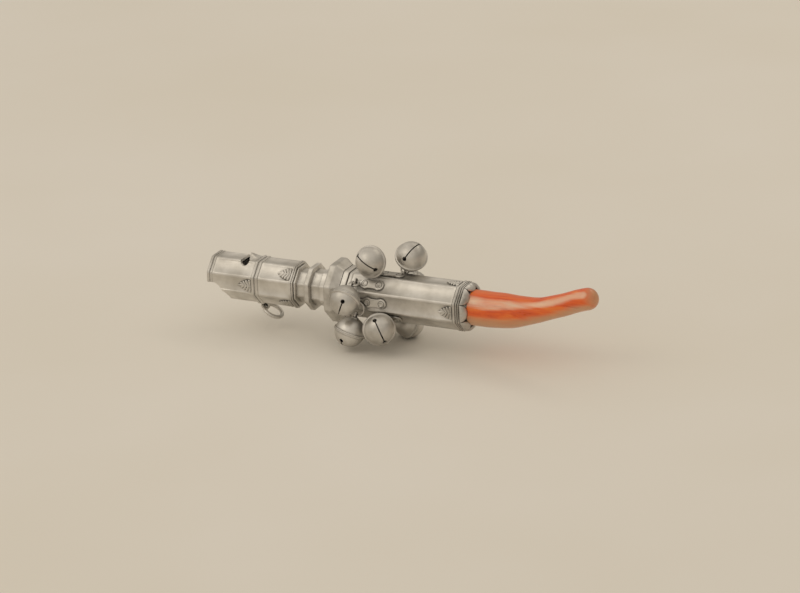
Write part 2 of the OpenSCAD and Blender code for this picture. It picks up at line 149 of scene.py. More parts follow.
def bakeModifiers(piece):
    # Turns what the modifiers make into a plain mesh, and removes them.
    graph = bpy.context.evaluated_depsgraph_get()
    mesh = bpy.data.meshes.new_from_object(piece.evaluated_get(graph))
    piece.modifiers.clear()
    old = piece.data
    piece.data = mesh
    bpy.data.meshes.remove(old)


def cutAway(piece, cutters):
    for cutter in cutters:
        modifier = piece.modifiers.new("cut", "BOOLEAN")
        modifier.operation = "DIFFERENCE"
        modifier.solver = "EXACT"
        modifier.object = cutter
    bakeModifiers(piece)
    for cutter in cutters:
        bpy.data.objects.remove(cutter)


def joinPieces(name, parts):
    # One mesh from several plain ones, at the origin.
    points, faces = [], []
    for part in parts:
        start = len(points)
        points += [part.matrix_world @ v.co for v in part.data.vertices]
        faces += [[start + i for i in poly.vertices] for poly in part.data.polygons]
        bpy.data.objects.remove(part)
    return makeMesh(name, points, faces)


def finishPiece(piece, material, body, node, sharpDegrees=34):
    # Shading, material, the body it rides on and the CAD node it stands for.
    smoothShade(piece, sharpDegrees)
    piece.data.materials.clear()
    piece.data.materials.append(material)
    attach(piece, body)
    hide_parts(node)


view = {
    "azimuth": 26.16, "elevation": 20.39, "roll": -2.18,
    "distance": 1.4, "lens": 189.7, "sensorWidth": 36, "clipStart": 0.05,
    "targetX": -0.0015, "targetZ": 0.0172,
}


def makeCamera():
    azimuth, elevation = math.radians(view["azimuth"]), math.radians(view["elevation"])
    look = Vector((-math.sin(azimuth) * math.cos(elevation),
                   math.cos(azimuth) * math.cos(elevation), -math.sin(elevation)))
    right = look.cross(Vector((0, 0, 1))).normalized()
    up = right.cross(look)
    roll = math.radians(view["roll"])
    rolledRight = right * math.cos(roll) + up * math.sin(roll)
    rolledUp = up * math.cos(roll) - right * math.sin(roll)
    place = Vector((view["targetX"], 0, view["targetZ"])) - look * view["distance"]
    data = bpy.data.cameras.new("photoCamera")
    data.lens = view["lens"]
    data.sensor_width = view["sensorWidth"]
    data.clip_start = view["clipStart"]
    camera = bpy.data.objects.new("photoCamera", data)
    turn = Matrix((rolledRight, rolledUp, -look)).transposed().to_4x4()
    camera.matrix_world = Matrix.Translation(place) @ turn
    bpy.context.scene.collection.objects.link(camera)
    bpy.context.scene.camera = camera


studio = {
    "paper": "F0ECE5", "paperShade": "ECE7DD", "floorSize": 8.0,
    "worldStrength": 1.1,
    "windowSide": (-0.45, -0.38, 0.80),   # the light of a large window, high on the left
    "sky": [
        (0.0, "807B74"), (0.45, "9A948A"), (0.60, "AEA79B"),
        (0.72, "CAC2B6"), (0.86, "D3CBBF"), (1.0, "D6CFC3"),
    ],
    "lampColour": "FFF4E2",
    "lamps": [
        # name, place, aim, width, height, watts
        ("keySoftbox", (-0.60, -0.70, 1.00), (0, 0, 0.02), 0.80, 0.60, 1.4),
        ("topStrip", (0.35, 0.70, 0.80), (0, 0, 0.02), 0.90, 0.14, 0.8),
    ],
}


def makeStudio():
    scene = bpy.context.scene
    scene.view_settings.view_transform = "Standard"
    paper = linearColour(studio["paper"])

    half = studio["floorSize"] / 2
    corners = [(-half, -half, 0), (half, -half, 0), (half, half, 0), (-half, half, 0)]
    floor = makeMesh("paperFloor", corners, [[0, 1, 2, 3]])
    floor.data.materials.append(makeFloorMaterial(paper))

    world = bpy.data.worlds.new("studioWorld")
    world.use_nodes = True
    tree = world.node_tree
    tree.nodes.clear()
    place = addNode(tree, "ShaderNodeTexCoord")
    facing = addNode(tree, "ShaderNodeVectorMath", {"operation": "DOT_PRODUCT"},
                     {0: place.outputs["Generated"], 1: Vector(studio["windowSide"]).normalized()})
    share = addNode(tree, "ShaderNodeMath", {"operation": "MULTIPLY_ADD"},
                    {0: facing.outputs["Value"], 1: 0.5, 2: 0.5})
    sky = addRamp(tree, share.outputs[0], [(stop, linearColour(tone)) for stop, tone in studio["sky"]])
    soft = addNode(tree, "ShaderNodeBackground", None, {"Color": sky, "Strength": studio["worldStrength"]})
    addNode(tree, "ShaderNodeOutputWorld", None, {"Surface": soft.outputs[0]})
    scene.world = world

    for name, place, aim, width, tall, watts in studio["lamps"]:
        data = bpy.data.lights.new(name, "AREA")
        data.shape = "RECTANGLE"
        data.size, data.size_y = width, tall
        data.energy = watts
        data.color = linearColour(studio["lampColour"])[:3]
        lamp = bpy.data.objects.new(name, data)
        away = Vector(place) - Vector(aim)
        lamp.matrix_world = Matrix.Translation(place) @ away.to_track_quat("Z", "Y").to_matrix().to_4x4()
        scene.collection.objects.link(lamp)


def startMaterial(name):
    material = bpy.data.materials.new(name)
    material.use_nodes = True
    tree = material.node_tree
    place = addNode(tree, "ShaderNodeTexCoord").outputs["Object"]
    return material, tree, tree.nodes["Principled BSDF"], place


def makeFloorMaterial(paper):
    # drawing paper: matt, with a faint cloudiness
    material, tree, shader, place = startMaterial("creamPaper")
    cloudy = addNode(tree, "ShaderNodeTexNoise", None, {"Vector": place, "Scale": 6.0, "Detail": 3.0})
    tone = addRamp(tree, cloudy.outputs["Fac"], [(0.3, linearColour(studio["paperShade"])), (0.7, paper)])
    tree.links.new(tone, shader.inputs["Base Color"])
    shader.inputs["Roughness"].default_value = 0.95
    shader.inputs["Specular IOR Level"].default_value = 0.1
    return material


silverLook = {
    # old silver: pale warm grey, darkened in hollows found by ambient occlusion: partly tarnish, partly
    # painted shade
    "burnishedSilverSheet": {"light": "E4E1DC", "dark": "C6C2BB", "patinaAndShadeTone": "35312B",
                             "roughLow": 0.38, "roughHigh": 0.54, "dentSize": 3.2, "dentDepth": 0.05,
                             "scratchDepth": 0.02, "patinaAndShade": 0.85, "patinaAndShadeReach": 1.9},
    "castChasedSilver": {"light": "E4E1DC", "dark": "B6B2AB", "patinaAndShadeTone": "2B2823",
                         "roughLow": 0.38, "roughHigh": 0.54, "dentSize": 0.9, "dentDepth": 0.03,
                         "scratchDepth": 0.02, "patinaAndShade": 1.0, "patinaAndShadeReach": 1.6},
    "raisedBellSilver": {"light": "DFDCD7", "dark": "B7B3AC", "patinaAndShadeTone": "332F29",
                         "roughLow": 0.38, "roughHigh": 0.52, "dentSize": 2.4, "dentDepth": 0.05,
                         "scratchDepth": 0.015, "patinaAndShade": 0.8, "patinaAndShadeReach": 1.5},
}


silverPattern = {
    # sizes in millimetres; real polishing lines are far finer and wouldn't show
    "cloud": 9, "patinaAndShade": 1.6, "wear": 2.5, "line": 0.35,
}


def makeSilver(name):
    look, size = silverLook[name], silverPattern
    material, tree, shader, place = startMaterial(name)

    cloudy = addNode(tree, "ShaderNodeTexNoise", None,
                     {"Vector": place, "Scale": perMetre / size["cloud"], "Detail": 4.0, "Roughness": 0.6})
    clean = addRamp(tree, cloudy.outputs["Fac"], [(0.35, linearColour(look["dark"])),
                                                  (0.68, linearColour(look["light"]))])
    # painted shade over real tarnish: ambient occlusion darkens hollows, creases and corners towards the dark
    # patina tone
    hollows = addNode(tree, "ShaderNodeAmbientOcclusion", {"samples": 6},
                      {"Distance": look["patinaAndShadeReach"] * mm})
    patinaAndShadeNoise = addNode(tree, "ShaderNodeTexNoise", None,
                         {"Vector": place, "Scale": perMetre / size["patinaAndShade"], "Detail": 5.0,
                          "Roughness": 0.65})
    depth = addNode(tree, "ShaderNodeMath", {"operation": "MULTIPLY_ADD"},
                    {0: patinaAndShadeNoise.outputs["Fac"], 1: 0.35, 2: -0.17})
    reach = addNode(tree, "ShaderNodeMath", {"operation": "ADD"},
                    {0: hollows.outputs["AO"], 1: depth.outputs[0]})
    patinaAndShade = addRamp(tree, reach.outputs[0], [(0.28, grey(look["patinaAndShade"])), (0.78, grey(0.0))])
    colour = addNode(tree, "ShaderNodeMix", {"data_type": "RGBA"},
                     {0: patinaAndShade, 6: clean, 7: linearColour(look["patinaAndShadeTone"])})
    tree.links.new(colour.outputs[2], shader.inputs["Base Color"])

    smear = addNode(tree, "ShaderNodeMapping", None, {"Vector": place, "Scale": (0.25, 1.0, 1.0)})
    wear = addNode(tree, "ShaderNodeTexNoise", None,
                   {"Vector": smear.outputs[0], "Scale": perMetre / size["wear"], "Detail": 6.0,
                    "Roughness": 0.7})
    rough = addNode(tree, "ShaderNodeMapRange", None,
                    {"Value": wear.outputs["Fac"], "From Min": 0.3, "From Max": 0.7,
                     "To Min": look["roughLow"], "To Max": look["roughHigh"]})
    dull = addNode(tree, "ShaderNodeMath", {"operation": "MULTIPLY_ADD"},
                   {0: patinaAndShade, 1: 0.3, 2: rough.outputs[0]})
    tree.links.new(dull.outputs[0], shader.inputs["Roughness"])

    # planishing and handling leave shallow dents, polishing leaves fine lines
    dents = addNode(tree, "ShaderNodeTexNoise", None,
                    {"Vector": place, "Scale": perMetre / look["dentSize"], "Detail": 1.5})
    dentBump = addNode(tree, "ShaderNodeBump", None,
                       {"Height": dents.outputs["Fac"], "Strength": 0.6, "Distance": look["dentDepth"] * mm})
    lines = addNode(tree, "ShaderNodeMapping", None, {"Vector": place, "Scale": (0.08, 1.0, 1.0)})
    scratch = addNode(tree, "ShaderNodeTexNoise", None,
                      {"Vector": lines.outputs[0], "Scale": perMetre / size["line"], "Detail": 2.0})
    scratchBump = addNode(tree, "ShaderNodeBump", None,
                          {"Height": scratch.outputs["Fac"], "Strength": 0.5,
                           "Distance": look["scratchDepth"] * mm, "Normal": dentBump.outputs[0]})
    tree.links.new(scratchBump.outputs[0], shader.inputs["Normal"])
    shader.inputs["Metallic"].default_value = 1.0
    return material


coralLook = {
    # cream is a painted highlight on the upper side; brown is painted shade on the underside and round the
    # tip
    "red": "D24A08", "orange": "E9610A", "flame": "F28A30", "cream": "F2DFC2", "brown": "C9A27C",
    "streakLength": 16, "streakWidth": 2.0, "driftSize": 4.5, "pitSize": 0.8,
    # degrees up from the front, round the stick, and how far each edge wanders, starts and ends
    "creamAngle": 40, "creamEdge": (0.30, 0.91, 1.02),
    "brownAngle": -54, "brownEdge": (0.55, 0.52, 0.98), "brownShare": 0.85,
    "tipEdge": (0.98, 1.11), "tipShare": 0.75,
}


def makeCoral():
    # polished branch coral: waxy orange, with a painted highlight as a pale cream band along its upper side,
    # and painted shade in tan-brown on its underside and round its tip
    look = coralLook
    material, tree, shader, place = startMaterial("polishedCoral")
    along = addNode(tree, "ShaderNodeMapping", None,
                    {"Vector": place, "Scale": (look["streakWidth"] / look["streakLength"], 1.0, 1.0)})
    streaks = addNode(tree, "ShaderNodeTexNoise", None,
                      {"Vector": along.outputs[0], "Scale": perMetre / look["streakWidth"], "Detail": 5.0,
                       "Roughness": 0.6, "Distortion": 0.5})
    colour = addRamp(tree, streaks.outputs["Fac"], [
        (0.30, linearColour(look["red"])), (0.48, linearColour(look["orange"])),
        (0.75, linearColour(look["flame"]))])

    # the skin attribute holds the direction round the stick and the way along it
    skin = addNode(tree, "ShaderNodeAttribute", {"attribute_name": "skin"})
    way = addNode(tree, "ShaderNodeSeparateXYZ", None, {0: skin.outputs["Vector"]}).outputs["Z"]
    drift = addNode(tree, "ShaderNodeTexNoise", None,
                    {"Vector": along.outputs[0], "Scale": perMetre / look["driftSize"], "Detail": 4.0,
                     "Distortion": 0.8})

    def sideMask(angle, spread, low, high):
        # How near a point lies to one side of the stick, with a wandering edge.
        turned = Vector((math.cos(math.radians(angle)), math.sin(math.radians(angle)), 0))
        near = addNode(tree, "ShaderNodeVectorMath", {"operation": "DOT_PRODUCT"},
                       {0: skin.outputs["Vector"], 1: turned})
        wander = addNode(tree, "ShaderNodeMath", {"operation": "MULTIPLY_ADD"},
                         {0: drift.outputs["Fac"], 1: spread, 2: -spread / 2})
        total = addNode(tree, "ShaderNodeMath", {"operation": "ADD"},
                        {0: near.outputs["Value"], 1: wander.outputs[0]})
        mask = addNode(tree, "ShaderNodeMapRange", {"interpolation_type": "SMOOTHSTEP"},
                       {"Value": total.outputs[0], "From Min": low, "From Max": high,
                        "To Min": 0.0, "To Max": 1.0})
        return mask.outputs[0]

    # painted shade: tan-brown on the underside and round the tip
    undersideShade = sideMask(look["brownAngle"], *look["brownEdge"])
    tipShade = addNode(tree, "ShaderNodeMapRange", {"interpolation_type": "SMOOTHSTEP"},
                      {"Value": way, "From Min": look["tipEdge"][0], "From Max": look["tipEdge"][1],
                       "To Min": 0.0, "To Max": look["tipShare"]})
    dusky = addNode(tree, "ShaderNodeMath", {"operation": "MULTIPLY"}, {0: undersideShade, 1: look["brownShare"]})
    brownShare = addNode(tree, "ShaderNodeMath", {"operation": "MAXIMUM"},
                         {0: dusky.outputs[0], 1: tipShade.outputs[0]})
    browned = addNode(tree, "ShaderNodeMix", {"data_type": "RGBA"},
                      {0: brownShare.outputs[0], 6: colour, 7: linearColour(look["brown"])})
    # painted highlight: a pale cream band along the upper front, fading towards the tip
    highlightBand = sideMask(look["creamAngle"], *look["creamEdge"])
    fading = addNode(tree, "ShaderNodeMapRange", None,
                     {"Value": way, "From Min": 0.1, "From Max": 0.9, "To Min": 1.0, "To Max": 0.5})
    highlightShare = addNode(tree, "ShaderNodeMath", {"operation": "MULTIPLY"}, {0: highlightBand, 1: fading.outputs[0]})
    shaded = addNode(tree, "ShaderNodeMix", {"data_type": "RGBA"},
                     {0: highlightShare.outputs[0], 6: browned.outputs[2], 7: linearColour(look["cream"])})
    tree.links.new(shaded.outputs[2], shader.inputs["Base Color"])

    pits = addNode(tree, "ShaderNodeTexVoronoi", None, {"Vector": place, "Scale": perMetre / look["pitSize"]})
    pitDepth = addRamp(tree, pits.outputs["Distance"], [(0.0, grey(0.0)), (0.18, grey(1.0))])
    bump = addNode(tree, "ShaderNodeBump", None, {"Height": pitDepth, "Strength": 0.2, "Distance": 0.04 * mm})
    ripple = addNode(tree, "ShaderNodeBump", None,
                     {"Height": streaks.outputs["Fac"], "Strength": 0.3, "Distance": 0.16 * mm,
                      "Normal": bump.outputs[0]})
    tree.links.new(ripple.outputs[0], shader.inputs["Normal"])
    gloss = addNode(tree, "ShaderNodeMapRange", None,
                    {"Value": streaks.outputs["Fac"], "From Min": 0.3, "From Max": 0.7,
                     "To Min": 0.26, "To Max": 0.38})
    tree.links.new(gloss.outputs[0], shader.inputs["Roughness"])
    shader.inputs["IOR"].default_value = 1.5
    shader.inputs["Coat Weight"].default_value = 0.35
    shader.inputs["Coat Roughness"].default_value = 0.16
    shader.inputs["Subsurface Weight"].default_value = 0.10
    shader.inputs["Subsurface Radius"].default_value = (0.0012, 0.0004, 0.0002)
    return material


def makeDull(name, darkHex, lightHex, metallic, roughness, grain):
    material, tree, shader, place = startMaterial(name)
    speck = addNode(tree, "ShaderNodeTexNoise", None,
                    {"Vector": place, "Scale": perMetre / grain, "Detail": 4.0})
    tone = addRamp(tree, speck.outputs["Fac"], [(0.35, linearColour(darkHex)), (0.7, linearColour(lightHex))])
    tree.links.new(tone, shader.inputs["Base Color"])
    bump = addNode(tree, "ShaderNodeBump", None,
                   {"Height": speck.outputs["Fac"], "Strength": 0.5, "Distance": 0.08 * mm})
    tree.links.new(bump.outputs[0], shader.inputs["Normal"])
    shader.inputs["Metallic"].default_value = metallic
    shader.inputs["Roughness"].default_value = roughness
    return material


def octagonRing(x, radius, panel=0.0, rib=0.55, corner=0.14, slope=0.16, belly=0.8):
    # Points round an octagon at station x: flats with a rib along each corner, panels sunk between.
    # A panel slopes down from its ribs and swells a little in the middle.
    half = radius * math.sin(halfFacet)
    flat = radius * flatRatio
    across = [
        (-half + corner, flat - 0.3 * corner), (-half + 2 * corner, flat), (-half + rib, flat),
        (-half + rib + slope, flat - panel), (0.0, flat - panel * belly), (half - rib - slope, flat - panel),
        (half - rib, flat), (half - 2 * corner, flat), (half - corner, flat - 0.3 * corner),
    ]
    points = []
    for i in range(facets):
        turn = 2 * math.pi * i / facets
        for side, out in across:
            y = out * math.cos(turn) - side * math.sin(turn)
            z = out * math.sin(turn) + side * math.cos(turn)
            points.append(Vector((x, y, axisZ + z)) * mm)
    return points


def skinRings(name, rings, loop=False):
    # Joins rings of equal count. loop closes the last to the first, otherwise both ends get a cap.
    count = len(rings[0])
    points = [p for ring in rings for p in ring]
    faces = []
    steps = len(rings) if loop else len(rings) - 1
    for i in range(steps):
        a, b = i * count, ((i + 1) % len(rings)) * count
        for j in range(count):
            k = (j + 1) % count
            faces.append([a + j, a + k, b + k, b + j])
    if not loop:
        faces.append(list(range(count)))
        faces.append([len(points) - count + j for j in reversed(range(count))])
    return makeMesh(name, points, faces)


def circleOf(count):
    return [2 * math.pi * j / count for j in range(count)]


def turnedShape(name, profile, sides=32):
    # A closed shape turned about Z from a list of (radius, height), lowest or highest first.
    around = [(math.cos(a), math.sin(a)) for a in circleOf(sides)]
    shape = skinRings(name, [[Vector((r * c, r * s, z)) * mm for c, s in around] for r, z in profile])
    tidyNormals(shape)
    return shape


def skinSheet(name, upper, lower, rows, columns):
    # Closes two equal grids of points into one thick sheet.
    count = rows * columns
    faces = []
    for i in range(rows - 1):
        for j in range(columns - 1):
            a = i * columns + j
            quad = [a, a + 1, a + columns + 1, a + columns]
            faces += [quad, [count + k for k in reversed(quad)]]
    edge = list(range(columns)) + [i * columns + columns - 1 for i in range(1, rows)]
    edge += [(rows - 1) * columns + j for j in reversed(range(columns - 1))]
    edge += [i * columns for i in reversed(range(1, rows - 1))]
    for k, a in enumerate(edge):
        b = edge[(k + 1) % len(edge)]
        faces.append([b, a, count + a, count + b])
    return makeMesh(name, upper + lower, faces)


def octagonSolid(name, profile, **shape):
    # profile is a list of (x, radius), and shape sets the panels and ribs.
    piece = skinRings(name, [octagonRing(*station, **shape) for station in profile])
    tidyNormals(piece)
    return piece


def octagonPipe(name, outer, innerRadius):
    # Open pipe: outer is a list of (x, radius) or (x, radius, panel), closed by a plain inner wall.
    rings = [octagonRing(*station) for station in outer]
    rings += [octagonRing(outer[-1][0], innerRadius), octagonRing(outer[0][0], innerRadius)]
    piece = skinRings(name, rings, loop=True)
    tidyNormals(piece)
    return piece


def roundedBar(start, end, radius, edge, steps=4):
    # Profile of a bar with rounded shoulders.
    profile = []
    for i in range(steps + 1):
        a = math.pi / 2 * i / steps
        profile.append((start + edge * (1 - math.cos(a)), radius - edge * (1 - math.sin(a))))
    for i in range(steps + 1):
        a = math.pi / 2 * i / steps
        profile.append((end - edge * (1 - math.sin(a)), radius - edge * (1 - math.cos(a))))
    return profile


def bead(start, end, base, height, steps=6):
    # Profile of a half-round moulding on a surface of radius base.
    return [(start + (end - start) * (1 - math.cos(math.pi * i / steps)) / 2,
             base + height * math.sin(math.pi * i / steps)) for i in range(steps + 1)]


def makeBox(name, low, high):
    corners = [(x, y, z) for x in (low[0], high[0]) for y in (low[1], high[1]) for z in (low[2], high[2])]
    faces = [[0, 1, 3, 2], [4, 6, 7, 5], [0, 4, 5, 1], [2, 3, 7, 6], [0, 2, 6, 4], [1, 5, 7, 3]]
    piece = makeMesh(name, [Vector(c) * mm for c in corners], faces)
    tidyNormals(piece)
    return piece


def makePrism(name, outline, halfWidth):
    # An outline in x and z, pulled out along y on both sides.
    count = len(outline)
    points = [Vector((x, -halfWidth, z)) * mm for x, z in outline]
    points += [Vector((x, halfWidth, z)) * mm for x, z in outline]
    faces = [list(range(count)), list(reversed(range(count, 2 * count)))]
    faces += [[j, count + j, count + (j + 1) % count, (j + 1) % count] for j in range(count)]
    piece = makeMesh(name, points, faces)
    tidyNormals(piece)
    return piece


whistle = {
    "wall": 0.8, "panel": 0.16, "panelFade": 0.7, "lipZ": -0.4, "undercutLength": 4.7, "undercutDrop": 8.9,
    "windowX": 12.6, "windowRadius": 1.6, "frontMargin": 0.4, "rearMargin": 0.3,
    "rimStep": 0.02, "rimGroove": 0.08, "rimBeads": (0.24, 0.18),
    "bandStep": 0.05, "bandBeads": (0.34, 0.3), "lipMargin": 0.25,
    "lipRise": 1.85, "lipThickness": 0.32, "lipLean": 0.75, "lipPoint": 1.15, "lipCurl": 2.2, "lipLow": 0.16,
}


def undercutShape():
    mouth = nodeSpan("mouth_rim")[0]
    start = nodeSpan("whistle_tube_front")[0]
    lip = axisZ + whistle["lipZ"]
    drop = whistle["undercutDrop"]
    outline = [(mouth - 1, lip), (start, lip)]
    steps = 20
    for i in range(1, steps + 1):
        a = math.pi / 2 * i / steps
        outline.append((start + whistle["undercutLength"] * math.sin(a), lip - drop * (1 - math.cos(a))))
    outline.append((mouth - 1, lip - drop))
    return makePrism("undercut", outline, 12)


def windowShape():
    middle = nodeSpan("mouth_rim")[0] + whistle["windowX"]
    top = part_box("whistle_tube_rear")[1].z / mm
    radius = whistle["windowRadius"]
    outline = [(middle + radius * math.cos(a), top + radius * math.sin(a)) for a in circleOf(48)]
    return makePrism("windowCut", outline, 9)


def panelledTube(name, node, radius, inner, panel, margin, fade, cutters=()):
    # A piece of octagonal tube, with panels that fade out towards its ends.
    start, end = nodeSpan(node)
    outer = [(start, radius, 0.0), (start + margin, radius, 0.0), (start + margin + fade, radius, panel),
             (end - margin - fade, radius, panel), (end - margin, radius, 0.0), (end, radius, 0.0)]
    tube = octagonPipe(name, outer, inner)
    if cutters:
        cutAway(tube, cutters)
    return tube


def makeWhistle(sheet, cast):
    rimStart, rimEnd = nodeSpan("mouth_rim")
    bandStart, bandEnd = nodeSpan("centre_band")
    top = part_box("whistle_tube_rear")[1].z / mm
    flat = top - axisZ
    radius = flat / flatRatio
    inner = radius - whistle["wall"] / flatRatio

    length, groove = rimEnd - rimStart, radius - whistle["rimGroove"]
    outside = radius + whistle["rimStep"]
    firstBead, lastBead = whistle["rimBeads"]
    profile = [(rimStart, inner + 0.3), (rimStart, outside)]
    profile += bead(rimStart + 0.05, rimStart + 0.5 * length, outside, firstBead)[1:]
    profile += [(rimStart + 0.56 * length, groove), (rimStart + 0.62 * length, groove)]
    profile += bead(rimStart + 0.62 * length, rimEnd, radius, lastBead)[1:]
    rim = octagonPipe("mouthRim", profile, inner)
    cutAway(rim, [undercutShape()])
    finishPiece(rim, cast, "rattle", "mouth_rim")

    panel, fade = whistle["panel"], whistle["panelFade"]
    front = panelledTube("whistleFront", "whistle_tube_front", radius, inner, panel,
                         whistle["frontMargin"], fade, [undercutShape(), windowShape()])
    finishPiece(front, sheet, "rattle", "whistle_tube_front")
    rear = panelledTube("whistleRear", "whistle_tube_rear", radius, inner, panel, whistle["rearMargin"], fade)
    finishPiece(rear, sheet, "rattle", "whistle_tube_rear")

    width = bandEnd - bandStart
    outside, groove = radius + whistle["bandStep"], radius - whistle["bandStep"]
    firstBead, lastBead = whistle["bandBeads"]
    profile = [(bandStart, inner), (bandStart, outside)]
    profile += bead(bandStart + 0.05, bandStart + 0.46 * width, outside, firstBead)[1:]
    profile += [(bandStart + 0.5 * width, groove), (bandStart + 0.58 * width, groove)]
    profile += bead(bandStart + 0.6 * width, bandEnd - 0.02, outside, lastBead)
    profile += [(bandEnd, radius + 0.02)]
    band = octagonPipe("centreBand", profile, inner)
    finishPiece(band, cast, "rattle", "centre_band")

    makeLip(cast, rimStart + whistle["windowX"] + whistle["windowRadius"], top)
    return radius


def makeLip(cast, start, top):
    # The lip curls up to a point behind the window and runs out flat in front of the band.
    length = nodeSpan("whistle_lip")[1] - start
    halfWidth = (top - axisZ) * math.tan(halfFacet) - whistle["lipMargin"]
    across, along = 24, 12
    upper, lower = [], []
    for i in range(along + 1):
        t = i / along
        for j in range(across + 1):
            side = -1 + 2 * j / across
            point = 1 - abs(side) ** whistle["lipPoint"]
            shape = whistle["lipLow"] + (1 - whistle["lipLow"]) * point
            lift = whistle["lipRise"] * shape * (1 - t) ** whistle["lipCurl"]
            lean = whistle["lipLean"] * point * (1 - t) ** 3
            place = Vector((start + length * t - lean, side * halfWidth, top + lift + 0.05))
            under = whistle["lipThickness"] * (1 - 0.5 * t)
            upper.append(place * mm)
            lower.append((place + Vector((0.5 * under * (1 - t), 0, -under))) * mm)
    lip = skinSheet("whistleLip", upper, lower, along + 1, across + 1)
    tidyNormals(lip)
    finishPiece(lip, cast, "rattle", "whistle_lip", sharpDegrees=50)


neck = {
    "waist": 0.25, "panel": 0.06, "rib": 0.4, "bandBead": 0.28, "seatBead": 0.25, "tubeStep": 0.5,
    # how far the shoulders of each bar are rounded
    "bandEdge": 0.12, "stepEdge": 0.18, "flangeEdge": 0.38, "collarEdge": 0.3, "shoulderEdge": 0.55,
    "shoulderCollarEdge": 0.25, "shoulderSlope": 2.7 / 4.9,
}


def radiusOf(node):
    low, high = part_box(node)
    return (high.z - low.z) / 2 / mm / flatRatio


def waistProfile(start, end, radius, steps=6):
    # A hollow moulding: widest at both ends, drawn in between.
    places = [i / steps for i in range(steps + 1)]
    return [(start + t * (end - start), radius + neck["waist"] * (2 * t - 1) ** 2 - 0.2) for t in places]


def makeNeck(sheet, cast):
    start, end = nodeSpan("neck_band")
    radius = radiusOf("neck_band")
    length = end - start
    rise = neck["bandBead"]
    profile = [(start, radius - 0.3)] + bead(start, start + 0.62 * length, radius - rise, rise)
    profile += [(start + 0.7 * length, radius - 0.34)]
    profile += roundedBar(start + 0.72 * length, end, radius - neck["bandEdge"], neck["bandEdge"])
    band = octagonSolid("neckBand", profile)
    finishPiece(band, cast, "rattle", "neck_band")

    profile = roundedBar(*nodeSpan("neck_step"), radiusOf("neck_step"), neck["stepEdge"])
    step = octagonSolid("neckStep", profile)
    finishPiece(step, sheet, "rattle", "neck_step")

    start, end = nodeSpan("neck_tube")
    flangeStart, flangeEnd = nodeSpan("neck_flange")
    radius = radiusOf("neck_tube") - neck["tubeStep"]
    profile = waistProfile(start, flangeStart, radius)
    profile += waistProfile(flangeEnd, end, radius + neck["tubeStep"])
    tube = octagonSolid("neckTube", profile, panel=neck["panel"], rib=neck["rib"])
    finishPiece(tube, sheet, "rattle", "neck_tube")

    profile = roundedBar(flangeStart, flangeEnd, radiusOf("neck_flange"), neck["flangeEdge"])
    flange = octagonSolid("neckFlange", profile)
    finishPiece(flange, cast, "rattle", "neck_flange")
    profile = roundedBar(*nodeSpan("neck_collar"), radiusOf("neck_collar"), neck["collarEdge"])
    neckCollar = octagonSolid("neckCollar", profile, panel=neck["panel"], rib=neck["rib"])
    finishPiece(neckCollar, sheet, "rattle", "neck_collar")

    start, end = nodeSpan("shoulder_flange")
    low, high = radiusOf("shoulder_collar"), radiusOf("shoulder_flange")
    slopeStart = start + neck["shoulderSlope"] * (end - start)
    profile = roundedBar(start, slopeStart, high, neck["shoulderEdge"])[:-2]
    profile += [(slopeStart + 0.1, high - 0.25), (end - 0.3, low + 0.25), (end, low + 0.12), (end, low - 0.2)]
    shoulder = octagonSolid("shoulderFlange", profile)
    finishPiece(shoulder, cast, "rattle", "shoulder_flange")
    profile = roundedBar(*nodeSpan("shoulder_collar"), low, neck["shoulderCollarEdge"])
    shoulderCollar = octagonSolid("shoulderCollar", profile)
    finishPiece(shoulderCollar, sheet, "rattle", "shoulder_collar")

    start, end = nodeSpan("body_seat")
    radius = radiusOf("body_seat")
    profile = [(start, radius - 0.3)] + bead(start, end, radius - neck["seatBead"], neck["seatBead"])
    profile += [(end, radius - 0.3)]
    seat = octagonSolid("bodySeat", profile)
    finishPiece(seat, cast, "rattle", "body_seat")


body = {
    "panel": 0.17, "wall": 0.6, "bandBore": 6.15,
    "beads": ((0.0, 1.15), (1.25, 1.9), (2.0, 2.6)),    # where each bead of the band starts and ends
    "beadHeight": 0.34, "beadGap": 0.06, "beadSink": 0.08, "groove": 0.12,
    # where the panels start to sink and where they are at full depth, from each end
    "frontMargin": (0.2, 0.9), "rearMargin": (0.3, 1.1),
}


def makeBody(sheet, cast):
    start, end = nodeSpan("body_tube")
    low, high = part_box("body_tube")
    flat = (high.z - low.z) / 2 / mm
    radius = flat / flatRatio
    panel = body["panel"]
    frontEdge, frontSunk = body["frontMargin"]
    rearEdge, rearSunk = body["rearMargin"]
    outer = [(start, radius, 0.0), (start + frontEdge, radius, 0.0), (start + frontSunk, radius, panel),
             (end - rearSunk, radius, panel), (end - rearEdge, radius, 0.0), (end, radius, 0.0)]
    tube = octagonPipe("bodyTube", outer, radius - body["wall"] / flatRatio)
    finishPiece(tube, sheet, "rattle", "body_tube")

    start, end = nodeSpan("body_band")
    gap, groove, base = body["beadGap"], radius - body["groove"], radius - body["beadSink"]
    profile = [(start, radius - 0.3)]
    for first, last in body["beads"]:
        profile += [(start + first + 0.01, groove)]
        profile += bead(start + first + gap, start + last - gap, base, body["beadHeight"])
        profile += [(start + last - 0.01, groove)]
    profile += [(end, radius - 0.3)]
    band = octagonPipe("bodyBand", profile, body["bandBore"])
    finishPiece(band, cast, "rattle", "body_band")
    return flat


collar = {"petals": 8, "alongSteps": 18, "acrossSteps": 18, "thickness": 0.45, "bulge": 0.62,
          "crease": 0.30, "creaseWidth": 0.12, "sink": 0.10, "hug": 0.10, "drawIn": 0.85,
          "petalWidth": 0.97, "tipRoundness": 3.2, "linerDepth": 0.75, "linerSides": 64, "linerRows": 12}


